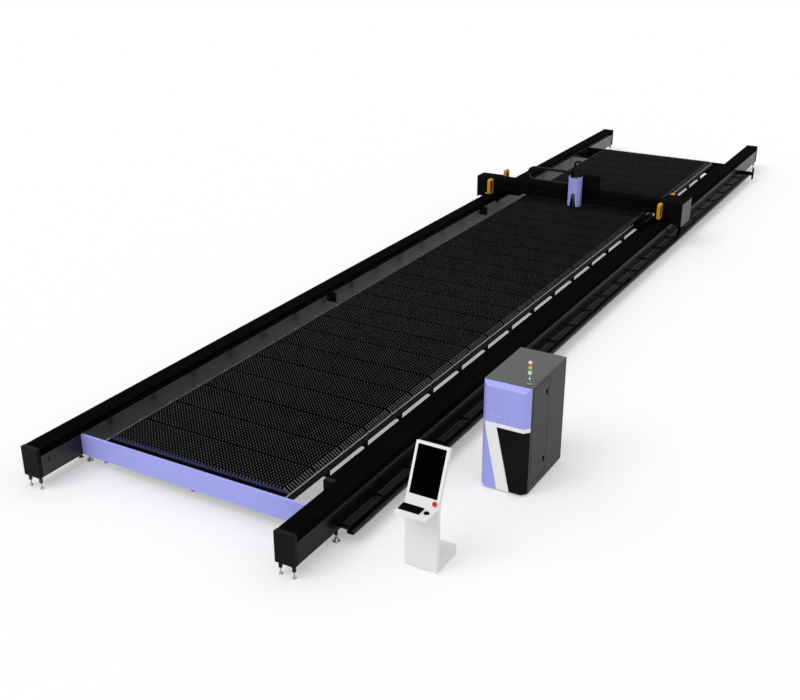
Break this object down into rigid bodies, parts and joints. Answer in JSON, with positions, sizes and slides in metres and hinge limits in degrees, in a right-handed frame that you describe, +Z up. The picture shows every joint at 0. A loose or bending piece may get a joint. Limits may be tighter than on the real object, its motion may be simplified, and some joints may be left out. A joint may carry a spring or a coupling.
{
  "type": "fiber laser cutting machine",
  "caption": "Ground-rail fiber laser cutter: gantry with a lifting cutting head over a slatted bed, energy chain trough, laser cabinet with stack light, operator console.",
  "frame": {"origin": "Underside of the bed's middle foot on the floor, halfway along the rails and halfway between them", "axes": "+X to the side with the console and cabinet, +Y along the rails to the far end, +Z up"},
  "size_m": [6.773, 24, 2.067],
  "materials": {
    "rail_paint": "satin dark grey paint",
    "black_sheet": "fine textured black paint",
    "guide_steel": "ground steel",
    "foot_chrome": "bright plated steel",
    "lilac_paint": "satin lilac paint",
    "slat_steel": "dark mill scale",
    "deflector_sheet": "satin grey paint",
    "chain_plastic": "moulded black plastic",
    "cabinet_paint": "fine textured dark grey paint",
    "white_paint": "satin white paint",
    "source_paint": "satin grey paint",
    "dark_plastic": "moulded black plastic",
    "white_plastic": "glossy white plastic",
    "lamp_plastic": "clear white lens",
    "green_lens": "clear green plastic",
    "amber_lens": "clear amber plastic",
    "red_lens": "clear red plastic",
    "screen_black": "dark glossy screen",
    "red_plastic": "glossy red plastic",
    "bumper_yellow": "matte yellow foam rubber",
    "dark_aluminium": "black anodised",
    "head_aluminium": "clear anodised",
    "nozzle_copper": "turned copper"
  },
  "bodies": {
    "machine": {"left_rail_beam": "rail_paint", "right_rail_beam": "rail_paint", "rail_covers": "black_sheet", "rail_end_caps": "rail_paint", "rail_guides": "guide_steel", "leveling_feet": "foot_chrome", "front_panel": "lilac_paint", "rear_panel": "black_sheet", "front_ledge": "black_sheet", "bed_front_bar": "lilac_paint", "bed_frame": "black_sheet", "slat_support_bars": "slat_steel", "bed_slats": "slat_steel", "side_deflectors": "deflector_sheet", "rail_stop_blocks": "black_sheet", "chain_trough": "black_sheet", "trough_brackets": "black_sheet", "trough_chain": "chain_plastic", "cabinet_body": "cabinet_paint", "cabinet_front_lilac": "lilac_paint", "cabinet_front_stripe": "white_paint", "cabinet_front_black": "black_sheet", "indicator_lamps": "lamp_plastic", "laser_source": "source_paint", "stack_light_pole": "foot_chrome", "stack_light_caps": "white_plastic", "stack_light_green": "green_lens", "stack_light_amber": "amber_lens", "stack_light_red": "red_lens", "console_body": "white_paint", "screen_glass": "screen_black", "keyboard_shelf": "white_paint", "keyboard": "dark_plastic", "mouse": "dark_plastic", "estop_collar": "dark_plastic"},
    "gantry": {"gantry_beam": "black_sheet", "left_carriage": "black_sheet", "right_carriage": "black_sheet", "carriage_bearings": "guide_steel", "left_end_cover": "black_sheet", "right_end_cover": "black_sheet", "safety_bumpers": "bumper_yellow", "drive_units": "black_sheet", "cross_guides": "guide_steel", "cross_chain": "chain_plastic", "chain_tow_arm": "black_sheet"},
    "head": {"head_carriage": "black_sheet", "head_bearings": "guide_steel", "cross_drive_box": "black_sheet", "head_cover": "lilac_paint", "hose_arch": "chain_plastic", "z_actuator": "dark_aluminium"},
    "torch": {"cutting_head": "head_aluminium", "nozzle": "nozzle_copper"},
    "left_drive": {"left_pinion": "guide_steel"},
    "right_drive": {"right_pinion": "guide_steel"},
    "cross_drive": {"cross_pinion": "guide_steel"},
    "door": {"cabinet_door": "cabinet_paint", "door_pulls": "dark_plastic"},
    "estop": {"estop_button": "red_plastic"}
  },
  "joints": [
    {"name": "gantry_travel", "type": "slide", "parent": "machine", "child": "gantry", "axis": [0, 1, 0], "range_m": [-14.3, 6.4]},
    {"name": "cross_travel", "type": "slide", "parent": "gantry", "child": "head", "axis": [1, 0, 0], "range_m": [-1.5, 1.45]},
    {"name": "head_lift", "type": "slide", "parent": "head", "child": "torch", "axis": [0, 0, 1], "range_m": [-0.07, 0.12]},
    {"name": "left_pinion_turn", "type": "hinge", "parent": "gantry", "child": "left_drive", "pos_m": [-2.165, 4.32, 0.5964], "axis": [-1, 0, 0], "range_deg": [-25700, 11600]},
    {"name": "right_pinion_turn", "type": "hinge", "parent": "gantry", "child": "right_drive", "pos_m": [2.165, 3.12, 0.5964], "axis": [-1, 0, 0], "range_deg": [-25700, 11600]},
    {"name": "cross_pinion_turn", "type": "hinge", "parent": "head", "child": "cross_drive", "pos_m": [0.3, 3.5306, 1.08], "axis": [0, 0, 1], "range_deg": [-3400, 3260]},
    {"name": "door_swing", "type": "hinge", "parent": "machine", "child": "door", "pos_m": [4.098, -8.558, 0.9], "axis": [0, 0, -1], "range_deg": [0, 92]},
    {"name": "estop_press", "type": "slide", "parent": "machine", "child": "estop", "axis": [0, 0.922, -0.3873], "range_m": [0, 0.006], "stiffness_N_per_m": 400, "springref_m": -0.004}
  ],
  "couplings": [
    {"joint": "left_pinion_turn", "follows": "gantry_travel", "rad_per_m": 31.25},
    {"joint": "right_pinion_turn", "follows": "gantry_travel", "rad_per_m": 31.25},
    {"joint": "cross_pinion_turn", "follows": "cross_travel", "rad_per_m": 38.462}
  ]
}
